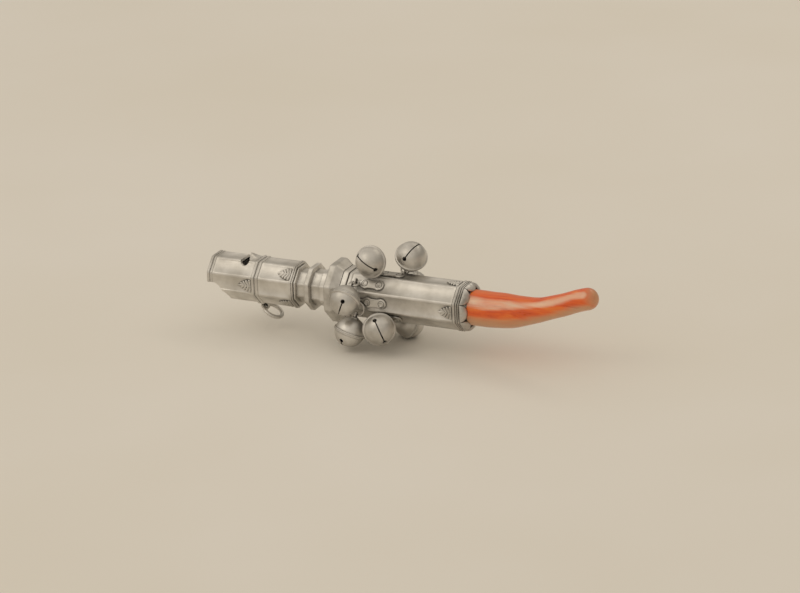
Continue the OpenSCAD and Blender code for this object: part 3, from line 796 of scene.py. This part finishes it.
def makeCoralCollar(cast, coralRadius, baseRadius):
    # Eight rounded petals, one on each facet, drawn in over the end of the coral, and a plain liner.
    start, end = nodeSpan("coral_collar")
    length = end - start
    parts = []

    def fall(t):
        inward = math.cos(math.pi / 2 * t) ** collar["drawIn"]
        return coralRadius + collar["hug"] + (baseRadius - coralRadius) * inward

    for petal in range(collar["petals"]):
        middle = 2 * math.pi * petal / collar["petals"]
        upper, lower = [], []
        for i in range(collar["alongSteps"] + 1):
            t = i / collar["alongSteps"]
            width = halfFacet * collar["petalWidth"] * max(0.02, 1 - t ** collar["tipRoundness"]) ** 0.5
            for j in range(collar["acrossSteps"] + 1):
                side = -1 + 2 * j / collar["acrossSteps"]
                angle = middle + side * width
                corner = flatRatio / math.cos(side * width)
                base = fall(t) * (corner + (1 - corner) * t) - collar["sink"]
                swell = collar["bulge"] * (1 - side * side) ** 0.6 * math.sin(math.pi * t ** 0.8) ** 0.7
                fold = math.exp(-(side / collar["creaseWidth"]) ** 2)
                radius = base + swell - collar["crease"] * fold * math.sin(math.pi * t) ** 0.7
                turned = Vector((0, math.cos(angle), math.sin(angle)))
                place = axisPoint + Vector((start + length * t, 0, 0)) + turned * radius
                upper.append(place * mm)
                lower.append((place - turned * collar["thickness"]) * mm)
        parts.append(skinSheet("petal", upper, lower, collar["alongSteps"] + 1, collar["acrossSteps"] + 1))

    rings, rows = [], collar["linerRows"]
    for i in range(rows + 1):
        t = i / rows
        centre = axisPoint + Vector((start + (length - 0.5) * t, 0, 0))
        radius = max(coralRadius - 0.05, fall(t) * flatRatio - collar["linerDepth"])
        around = [Vector((0, math.cos(a), math.sin(a))) for a in circleOf(collar["linerSides"])]
        rings.append([(centre + out * radius) * mm for out in around])
    parts.append(skinRings("liner", rings))
    piece = joinPieces("coralCollar", parts)
    tidyNormals(piece)
    finishPiece(piece, cast, "rattle", "coral_collar", sharpDegrees=48)


coral = {
    "rootRadius": 6.0, "tipRadius": 3.7, "rise": 8.1, "bend": 1.5, "taperMiddle": 0.455, "taperRate": 12.3,
    "sides": 56, "steps": 90, "tipSteps": 14, "swell": 0.045, "swellLength": 9.0,
    "ripples": ((0.6, 3, 6.0), (0.4, 2, -4.1)),      # share, count round the stick, length along it
}


def makeCoralStick(material):
    start = nodeSpan("coral_collar")[1]
    root, end = nodeSpan("coral_stick")
    run = end - start - coral["tipRadius"]

    def taperAt(t):
        return 1 - 1 / (1 + math.exp(-coral["taperRate"] * (t - coral["taperMiddle"])))

    def radiusAt(t):
        return coral["tipRadius"] + (coral["rootRadius"] - coral["tipRadius"]) * taperAt(t) / taperAt(0)

    def pointAt(t):
        rise = coral["rise"] * (coral["bend"] * t ** 3 - (coral["bend"] - 1) * t ** 6)
        return Vector((start + run * t, 0, rise))

    def alongAt(t):
        return (pointAt(min(1, t + 0.01)) - pointAt(max(0, t - 0.01))).normalized()

    rings, skin = [], []

    def addRing(centre, along, radius, t, past=0.0):
        # Each ring carries slow swellings, and its direction round the stick for the material.
        up = Vector((-along.z, 0, along.x))
        x = start + run * t
        grow = coral["swell"] * min(1.0, t * 6) * min(1.0, radius / coral["tipRadius"])
        fade = math.cos(past)
        ring = []
        for a in circleOf(coral["sides"]):
            swell = math.sin(x / coral["swellLength"] * 2 * math.pi + 1.3 * math.sin(a))
            for share, count, length in coral["ripples"]:
                swell += share * math.sin(count * a + x / length)
            out = math.cos(a) * Vector((0, 1, 0)) + math.sin(a) * up
            ring.append((centre + (radius + grow * swell) * out + axisPoint) * mm)
            skin.extend((-math.cos(a) * fade, math.sin(a) * fade, t + 0.1 * math.sin(past)))
        rings.append(ring)

    addRing(Vector((root + 0.02, 0, 0)), Vector((1, 0, 0)), coral["rootRadius"] - 0.02, 0)
    for i in range(coral["steps"] + 1):
        t = i / coral["steps"]
        addRing(pointAt(t), alongAt(t), radiusAt(t), t)
    along, tip = alongAt(1), coral["tipRadius"]
    for i in range(1, coral["tipSteps"] + 1):
        a = math.pi / 2 * i / (coral["tipSteps"] + 0.4)
        addRing(pointAt(1) + tip * math.sin(a) * along, along, tip * math.cos(a), 1, a)
    piece = skinRings("coralStick", rings)
    paint = piece.data.attributes.new("skin", "FLOAT_VECTOR", "POINT")
    skin += [0.0] * (3 * len(piece.data.vertices) - len(skin))
    paint.data.foreach_set("vector", skin)
    tidyNormals(piece)
    finishPiece(piece, material, "rattle", "coral_stick", sharpDegrees=60)
    return coral["rootRadius"]


def startTree(name, sockets):
    # A tree that takes and gives geometry, with named inputs: (name, kind of socket).
    tree = bpy.data.node_groups.new(name, "GeometryNodeTree")
    for label, kind in (("Geometry", "Geometry"), *sockets, ("Material", "Material")):
        tree.interface.new_socket(label, in_out="INPUT", socket_type="NodeSocket" + kind)
    tree.interface.new_socket("Geometry", in_out="OUTPUT", socket_type="NodeSocketGeometry")
    return tree, addNode(tree, "NodeGroupInput")


def endTree(tree, inputs, geometry):
    real = addNode(tree, "GeometryNodeRealizeInstances", None, {"Geometry": geometry})
    paint = addNode(tree, "GeometryNodeSetMaterial", None,
                    {"Geometry": real.outputs[0], "Material": inputs.outputs["Material"]})
    addNode(tree, "NodeGroupOutput", None, {"Geometry": paint.outputs[0]})
    return tree


def makeCopiesTree():
    # Copies of one shape on the points of a mesh, turned to the points' own out and along vectors.
    tree, inputs = startTree("placeCopies", [("Shape", "Object"), ("Size", "Float")])
    out = addNode(tree, "GeometryNodeInputNamedAttribute", {"data_type": "FLOAT_VECTOR"}, {"Name": "out"})
    along = addNode(tree, "GeometryNodeInputNamedAttribute", {"data_type": "FLOAT_VECTOR"}, {"Name": "along"})
    turn = addNode(tree, "FunctionNodeAxesToRotation", {"primary_axis": "Z", "secondary_axis": "X"},
                   {"Primary Axis": out.outputs[0], "Secondary Axis": along.outputs[0]})
    shape = addNode(tree, "GeometryNodeObjectInfo", None, {"Object": inputs.outputs["Shape"]})
    copies = addNode(tree, "GeometryNodeInstanceOnPoints", None,
                     {"Points": inputs.outputs["Geometry"], "Instance": shape.outputs["Geometry"],
                      "Rotation": turn.outputs[0], "Scale": inputs.outputs["Size"]})
    return endTree(tree, inputs, copies.outputs[0])


def makeRingTree():
    # A ring of round wire about Z, of a named radius and thickness.
    tree, inputs = startTree("wireRing", [("Radius", "Float"), ("Wire", "Float")])
    path = addNode(tree, "GeometryNodeCurvePrimitiveCircle", None,
                   {"Resolution": 56, "Radius": inputs.outputs["Radius"]})
    half = addNode(tree, "ShaderNodeMath", {"operation": "MULTIPLY"}, {0: inputs.outputs["Wire"], 1: 0.5})
    section = addNode(tree, "GeometryNodeCurvePrimitiveCircle", None,
                      {"Resolution": 16, "Radius": half.outputs[0]})
    mesh = addNode(tree, "GeometryNodeCurveToMesh", None,
                   {"Curve": path.outputs["Curve"], "Profile Curve": section.outputs["Curve"]})
    return endTree(tree, inputs, mesh.outputs[0])


def runTree(piece, tree, values):
    modifier = piece.modifiers.new(tree.name, "NODES")
    modifier.node_group = tree
    for item in tree.interface.items_tree:
        if item.in_out == "INPUT" and item.name in values:
            modifier[item.identifier] = values[item.name]
    bakeModifiers(piece)


def placeCopies(name, shape, seats, tree, material, size=1.0):
    # seats is a list of (place, out, along), in millimetres and unit vectors.
    piece = makeMesh(name, [Vector(place) * mm for place, out, along in seats], [])
    for label, column in (("out", 1), ("along", 2)):
        attribute = piece.data.attributes.new(label, "FLOAT_VECTOR", "POINT")
        attribute.data.foreach_set("vector", [c for seat in seats for c in seat[column]])
    runTree(piece, tree, {"Shape": shape, "Size": size, "Material": material})
    bpy.data.objects.remove(shape)
    return piece


def makeWireRing(name, tree, material, radius, wire, place, normal):
    piece = makeMesh(name, [(0, 0, 0)], [])
    runTree(piece, tree, {"Radius": radius * mm, "Wire": wire * mm, "Material": material})
    turn = Vector(normal).to_track_quat("Z", "Y").to_matrix().to_4x4()
    piece.data.transform(Matrix.Translation(Vector(place) * mm) @ turn)
    tidyNormals(piece)
    return piece


def facetVector(facet):
    # Outward normal of a facet: 1 is the top, the next ones turn towards the front.
    angle = math.pi / 2 + (facet - 1) * 2 * math.pi / facets
    return Vector((0, math.cos(angle), math.sin(angle)))


leaf = {
    "length": 4.95, "rows": 56, "columns": 45, "plate": 0.32, "baseFall": 0.35,
    "ribWidth": 0.2, "ribHeight": 0.5, "ribFade": 1.2, "depth": 0.12, "sink": 0.1,
    # each lobe branches from the midrib towards the tip: its root, its end, its radius and its height
    "lobes": (
        ((-3.0, 0.0), (-4.5, 0.0), 0.43, 0.52),
        ((-2.7, 0.18), (-3.58, 0.80), 0.40, 0.56),
        ((-1.85, 0.22), (-2.62, 1.22), 0.43, 0.60),
        ((-0.95, 0.28), (-1.62, 1.56), 0.46, 0.62),
        ((0.05, 0.45), (-0.52, 1.82), 0.48, 0.60),
    ),
}


def segmentDistance(x, y, start, end):
    # Distance from a point to a straight line between two points.
    dx, dy = end[0] - start[0], end[1] - start[1]
    share = ((x - start[0]) * dx + (y - start[1]) * dy) / (dx * dx + dy * dy)
    share = min(1.0, max(0.0, share))
    return math.hypot(x - start[0] - share * dx, y - start[1] - share * dy)


def leafWidth(x):
    # Half the width of the leaf at a station: the outermost edge of any lobe there.
    fine = 0.02
    y = leaf["length"] / 2
    while y > fine:
        if any(segmentDistance(x, y, start, end) < radius for start, end, radius, _ in leaf["lobes"]):
            return y
        y -= fine
    return fine


def leafHeight(x, y):
    # Relief of the leaf: rounded lobes with creases between them, and a raised midrib.
    rise = leaf["plate"]
    for start, end, radius, height in leaf["lobes"]:
        gap = segmentDistance(x, abs(y), start, end) / radius
        rise = max(rise, height * math.sqrt(max(0.0, 1 - gap ** 2.4)))
    rib = leaf["ribHeight"] * math.exp(-(y / leaf["ribWidth"]) ** 4)
    rise = max(rise, rib * min(1.0, (x + leaf["length"]) / leaf["ribFade"]))
    nearBase = max(0.0, 1 + x)
    return rise * (1 - leaf["baseFall"] * nearBase * nearBase)


def leafShape():
    # A cast acanthus leaf: base at the origin, tip at -X.
    upper, lower = [], []
    nearlyAll = 0.994      # the very tip has no width
    for i in range(leaf["rows"]):
        x = leaf["length"] * (nearlyAll * i / (leaf["rows"] - 1) - nearlyAll)
        width = leafWidth(x)
        for j in range(leaf["columns"]):
            across = -1 + 2 * j / (leaf["columns"] - 1)
            y = width * across
            upper.append(Vector((x, y, leafHeight(x, y))) * mm)
            lower.append(Vector((x, y, -leaf["depth"])) * mm)
    shape = skinSheet("leafShape", upper, lower, leaf["rows"], leaf["columns"])
    tidyNormals(shape)
    return shape


def makeLeaves(tree, cast, whistleFlat, bodyFlat):
    plans = [
        ("mouthLeaves", "mouth_leaves", (3, 7), whistleFlat),
        ("chamberLeaves", "chamber_leaves", (2, 4, 6, 8), whistleFlat),
        ("bodyLeaves", "body_leaves", (1, 3, 5, 7), bodyFlat),
    ]
    for name, node, places, flat in plans:
        base = axisPoint + Vector((nodeSpan(node)[1], 0, 0))
        seats = []
        for k in places:
            out = facetVector(k)
            seats.append((base + out * (flat - leaf["sink"]), out, (1, 0, 0)))
        piece = placeCopies(name, leafShape(), seats, tree, cast)
        finishPiece(piece, cast, "rattle", node, sharpDegrees=50)


strap = {
    "length": 10.1, "rivetX": (3.0, 8.2), "eyelet": 1.65, "waist": 1.4, "tongue": 0.75, "thickness": 0.6,
    "eyeRadius": 0.85, "eyeWire": 0.7, "linkWire": 0.66, "dishRadius": 1.22, "dishDepth": 0.12,
    "edge": 0.14, "footX": -0.7, "rivetRadius": 1.0, "rivetRim": 0.4, "rivetMiddle": 0.1, "rivetPit": 0.3,
}


def strapHalfWidth(x):
    width = strap["tongue"] if x < strap["rivetX"][0] else strap["waist"]
    total = 0.0
    power = 5
    for middle in strap["rivetX"]:
        inside = strap["eyelet"] ** 2 - (x - middle) ** 2
        total += max(0.0, inside) ** (power / 2)
    if x < strap["rivetX"][1]:
        total += width ** power
    return total ** (1 / power)


def strapOutline(steps=60):
    first, last = strap["footX"], strap["rivetX"][1] + strap["eyelet"]
    upper = []
    for i in range(steps + 1):
        x = first + (last - first) * (1 - math.cos(math.pi * i / steps)) / 2
        width = strapHalfWidth(x)
        if x < 0:
            width = min(width, math.sqrt(max(0.0, first ** 2 - x * x)) + 0.02)
        upper.append((x, max(width, 0.02)))
    return upper + [(x, -w) for x, w in reversed(upper)]


def strapShape():
    # Two round eyelets in one plate, drawn in to a tongue under the eye at its left end.
    outline = strapOutline()
    edge, thickness = strap["edge"], strap["thickness"]
    first, middleX = outline[0][0], (outline[0][0] + outline[len(outline) // 2][0]) / 2
    rings = []
    levels = ((0.0, 0.0), (thickness - edge, 0.0), (thickness - 0.3 * edge, 0.4 * edge), (thickness, edge))
    for z, shrink in levels:
        ring = []
        for x, y in outline:
            inwardX = (middleX - x) / (middleX - first) * shrink
            inwardY = math.copysign(min(shrink, abs(y)), y)
            ring.append(Vector((x + inwardX, y - inwardY, z)) * mm)
        rings.append(ring)
    plate = skinRings("strapPlate", rings)
    tidyNormals(plate)

    cutters = []
    height = 1.0
    for x in strap["rivetX"]:
        place = (x * mm, 0, (thickness - strap["dishDepth"] + height / 2) * mm)
        bpy.ops.mesh.primitive_cylinder_add(vertices=40, radius=strap["dishRadius"] * mm, depth=height * mm,
                                            location=place)
        cutters.append(bpy.context.object)
    cutAway(plate, cutters)

    top = (strap["eyeRadius"] + strap["eyeWire"] / 2) * mm
    bpy.ops.mesh.primitive_torus_add(major_radius=strap["eyeRadius"] * mm,
                                     minor_radius=strap["eyeWire"] / 2 * mm,
                                     major_segments=40, minor_segments=14,
                                     rotation=(0, math.pi / 2, 0), location=(0, 0, top))
    eye = bpy.context.object
    bpy.context.view_layer.update()
    return joinPieces("strapShape", [plate, eye])


def rivetShape():
    # A hollow rivet: a round rim rolled over, a sunken middle and a small dark pit.
    rim, middle, pit = strap["rivetRim"] / 2, strap["rivetMiddle"], strap["rivetPit"]
    steps = 12
    profile = [(strap["rivetRadius"], -0.1)]
    for i in range(steps + 1):
        a = math.pi * i / steps
        profile.append((strap["rivetRadius"] - rim + rim * math.cos(a), middle + rim * math.sin(a)))
    profile += [(pit + 0.06, middle - 0.02), (pit, middle - 0.06), (pit * 0.8, -0.08), (0.05, -0.09)]
    return turnedShape("rivetShape", profile)


def makeStraps(tree, sheet, cast, bodyFlat):
    seats, rivetSeats = [], []
    for k in range(1, bellCount + 1):
        eye = Vector(joints[f"link_swing_{k}"]["pos_m"]) / mm
        out = facetVector(k)
        foot = Vector((eye.x, 0, axisZ)) + out * bodyFlat
        seats.append((foot, out, (1, 0, 0)))
        for x in strap["rivetX"]:
            place = foot + Vector((x, 0, 0)) + out * (strap["thickness"] - strap["dishDepth"])
            rivetSeats.append((place, out, (1, 0, 0)))
    straps = placeCopies("bellStraps", strapShape(), seats, tree, cast)
    finishPiece(straps, cast, "rattle", "bell_straps", sharpDegrees=40)
    rivets = placeCopies("strapRivets", rivetShape(), rivetSeats, tree, sheet)
    finishPiece(rivets, sheet, "rattle", "strap_rivets", sharpDegrees=50)


def makeLinks(ringTree, cast):
    along = Vector((1, 0, 0))
    for k in range(1, bellCount + 1):
        eye = Vector(joints[f"link_swing_{k}"]["pos_m"]) / mm
        shank = Vector(joints[f"bell_swing_{k}"]["pos_m"]) / mm
        span = shank - eye
        side = Vector((0, span.y, span.z))
        radius = span.length_squared / (2 * side.length)
        toMiddle = side.normalized()
        ring = makeWireRing(f"link{k}", ringTree, cast, radius, strap["linkWire"], eye + radius * toMiddle,
                            along.cross(toMiddle))
        finishPiece(ring, cast, f"link_{k}", f"link_{k}", sharpDegrees=80)


hanger = {"ringWire": 1.3, "ringRadius": 3.3, "eyeRadius": 1.25, "eyeWire": 0.9, "footRadius": 1.2,
          "footRoot": 0.3, "footDrop": 0.75}


def makeHanger(ringTree, cast):
    pivot = Vector(joints["ring_swing"]["pos_m"]) / mm
    middle = nodeMiddle("suspension_ring")
    direction = (middle - pivot).normalized()
    ring = makeWireRing("suspensionRing", ringTree, cast, hanger["ringRadius"], hanger["ringWire"],
                        pivot + hanger["ringRadius"] * direction, direction.cross(Vector((0, 1, 0))))
    finishPiece(ring, cast, "suspension_ring", "suspension_ring", sharpDegrees=80)

    loop = makeWireRing("eyeLoop", ringTree, cast, hanger["eyeRadius"], hanger["eyeWire"], pivot, (0, 1, 0))
    steps = 6
    profile = []
    for i in range(steps + 1):
        a = math.pi / 2 * i / steps
        height = hanger["footRoot"] - hanger["footDrop"] * math.sin(a)
        profile.append((max(0.05, hanger["footRadius"] * math.cos(a)), height))
    foot = turnedShape("eyeFoot", profile)
    foot.data.transform(Matrix.Translation((pivot.x * mm, 0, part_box("ring_eye")[1].z)))
    eye = joinPieces("ringEye", [loop, foot])
    tidyNormals(eye)
    finishPiece(eye, cast, "rattle", "ring_eye", sharpDegrees=50)


bell = {
    "radius": 5.1, "wall": 0.4, "rimRadius": 5.5, "rimThickness": 0.45, "sides": 96, "domeSteps": 22,
    "slotWidth": 0.42, "holeRadius": 0.72, "slotReach": 52, "shankRadius": 0.85, "shankWire": 0.7,
    "footRadius": 1.25, "shankHeight": 6.05,
    "domeStart": 1.12, "sawTop": -2.0, "holeDepth": 3,
    # height and rise of the turned line beside the rim
    "turnedLine": ((0.56, 0.03), (0.64, -0.03), (0.74, -0.03), (0.82, 0.035), (0.94, 0.035), (1.02, 0.0)),
    "turns": (25, 115, 85, 140, 20, 80, 40, 70),       # which way each slot points, in degrees
}


def bellCup(name):
    # Half a bell above Z = 0: a rolled rim, a fine turned line beside it, and an even wall.
    radius, wall, rim, thick = bell["radius"], bell["wall"], bell["rimRadius"], bell["rimThickness"]
    profile = [(radius - wall, 0.0), (rim - 0.10, 0.0), (rim - 0.02, 0.05), (rim, 0.14), (rim, thick - 0.20),
               (rim - 0.04, thick - 0.09), (rim - 0.14, thick - 0.02), (rim - 0.26, thick)]
    for z, out in bell["turnedLine"]:
        profile.append((math.sqrt(radius * radius - z * z) + out, z))
    first = math.asin(bell["domeStart"] / radius)
    for i in range(bell["domeSteps"]):
        a = first + (math.pi / 2 - first) * i / bell["domeSteps"]
        profile.append((radius * math.cos(a), radius * math.sin(a)))
    outerCount = len(profile)
    inner = []
    for i in range(bell["domeSteps"], 0, -1):
        a = math.pi / 2 * i / bell["domeSteps"] * 0.985
        inner.append(((radius - wall) * math.cos(a), (radius - wall) * math.sin(a)))
    sides = bell["sides"]
    around = [(math.cos(a), math.sin(a)) for a in circleOf(sides)]
    points = [Vector((r * c, r * s, z)) * mm for r, z in profile + inner for c, s in around]
    pole = len(points)
    points += [Vector((0, 0, radius)) * mm, Vector((0, 0, radius - wall)) * mm]
    faces = []

    def band(a, b):
        for j in range(sides):
            k = (j + 1) % sides
            faces.append([a * sides + j, a * sides + k, b * sides + k, b * sides + j])

    for i in range(outerCount - 1):
        band(i, i + 1)
    for i in range(outerCount, outerCount + len(inner) - 1):
        band(i, i + 1)
    band(outerCount + len(inner) - 1, 0)
    for j in range(sides):
        k = (j + 1) % sides
        faces.append([(outerCount - 1) * sides + j, (outerCount - 1) * sides + k, pole])
        faces.append([outerCount * sides + k, outerCount * sides + j, pole + 1])
    piece = makeMesh(name, points, faces)
    tidyNormals(piece)
    return piece


def slotCutter():
    # The sound slot: a saw cut that runs out into a round hole at each end.
    reach = math.radians(bell["slotReach"])
    radius, half = bell["radius"], bell["slotWidth"] / 2
    far = radius * math.sin(reach)
    parts = [makeBox("saw", (-far, -half, -radius - 1), (far, half, bell["sawTop"]))]
    for side in (-1, 1):
        direction = Vector((side * math.sin(reach), 0, -math.cos(reach)))
        bpy.ops.mesh.primitive_cylinder_add(vertices=32, radius=bell["holeRadius"] * mm,
                                            depth=bell["holeDepth"] * mm)
        hole = bpy.context.object
        turn = direction.to_track_quat("Z", "Y").to_matrix().to_4x4()
        hole.data.transform(Matrix.Translation(direction * radius * mm) @ turn)
        parts.append(hole)
    return parts


def makeBells(ringTree, silver):
    for k in range(1, bellCount + 1):
        centre = Vector(joints[f"pellet_roll_{k}"]["pos_m"])
        shank = Vector(joints[f"bell_swing_{k}"]["pos_m"])
        across = Vector(joints[f"bell_swing_{k}"]["axis"]).normalized()
        up = (shank - centre).normalized()
        side = up.cross(across)
        place = Matrix.Translation(centre) @ Matrix((across, side, up)).transposed().to_4x4()

        loop = makeWireRing("loop", ringTree, silver, bell["shankRadius"], bell["shankWire"],
                            (0, 0, bell["shankHeight"]), (1, 0, 0))
        shankLoop = joinPieces(f"bellShank{k}", [loop, bellFoot()])
        shankLoop.data.transform(place)
        finishPiece(shankLoop, silver, f"bell_{k}", f"bell_shank_{k}", sharpDegrees=40)

        # two raised halves meet at the rim, and the slot is sawn in the lower one
        top = bellCup("bellTop")
        bottom = bellCup("bellBottom")
        bottom.data.transform(Matrix.Rotation(math.pi, 4, "X"))
        tidyNormals(bottom)
        cutAway(bottom, slotCutter())
        bottom.data.transform(Matrix.Rotation(math.radians(bell["turns"][k - 1]), 4, "Z"))
        shell = joinPieces(f"bellShell{k}", [top, bottom])
        shell.data.transform(place)
        finishPiece(shell, silver, f"bell_{k}", f"bell_shell_{k}", sharpDegrees=40)


def bellFoot():
    # The soldered foot between the shank loop and the dome.
    dome, foot = bell["radius"], bell["footRadius"]
    profile = [(foot + 0.15, dome - 0.25), (foot, dome + 0.02), (foot * 0.8, dome + 0.16), (0.5, dome + 0.24)]
    return turnedShape("bellFoot", profile)


def paintNodes(names, material):
    for name in names:
        node = frame["nodes"][name]
        node.data.materials.clear()
        node.data.materials.append(material)


makeCamera()
makeStudio()
print("stage: camera and studio ready")

sheet = makeSilver("burnishedSilverSheet")
cast = makeSilver("castChasedSilver")
bellSilver = makeSilver("raisedBellSilver")
coralMaterial = makeCoral()
ironMaterial = makeDull("ironShot", "2A2826", "4A4642", 0.8, 0.6, 0.6)
cementMaterial = makeDull("settingCement", "4A4036", "6B5E50", 0.0, 0.9, 0.9)
print("stage: materials ready")

copiesTree = makeCopiesTree()
ringTree = makeRingTree()
whistleRadius = makeWhistle(sheet, cast)
makeNeck(sheet, cast)
bodyFlat = makeBody(sheet, cast)
print("stage: octagonal silverwork ready")

coralRadius = makeCoralStick(coralMaterial)
makeCoralCollar(cast, coralRadius + 0.12, bodyFlat / flatRatio - 0.1)
print("stage: coral and its collar ready")

makeLeaves(copiesTree, cast, whistleRadius * flatRatio, bodyFlat)
makeStraps(copiesTree, sheet, cast, bodyFlat)
makeLinks(ringTree, cast)
makeHanger(ringTree, cast)
makeBells(ringTree, bellSilver)
print("stage: leaves, straps, links and bells ready")

paintNodes(["whistle_plug", "whistle_end_disc"], sheet)
paintNodes(["coral_cement"], cementMaterial)
paintNodes([f"pellet_{k}" for k in range(1, bellCount + 1)], ironMaterial)
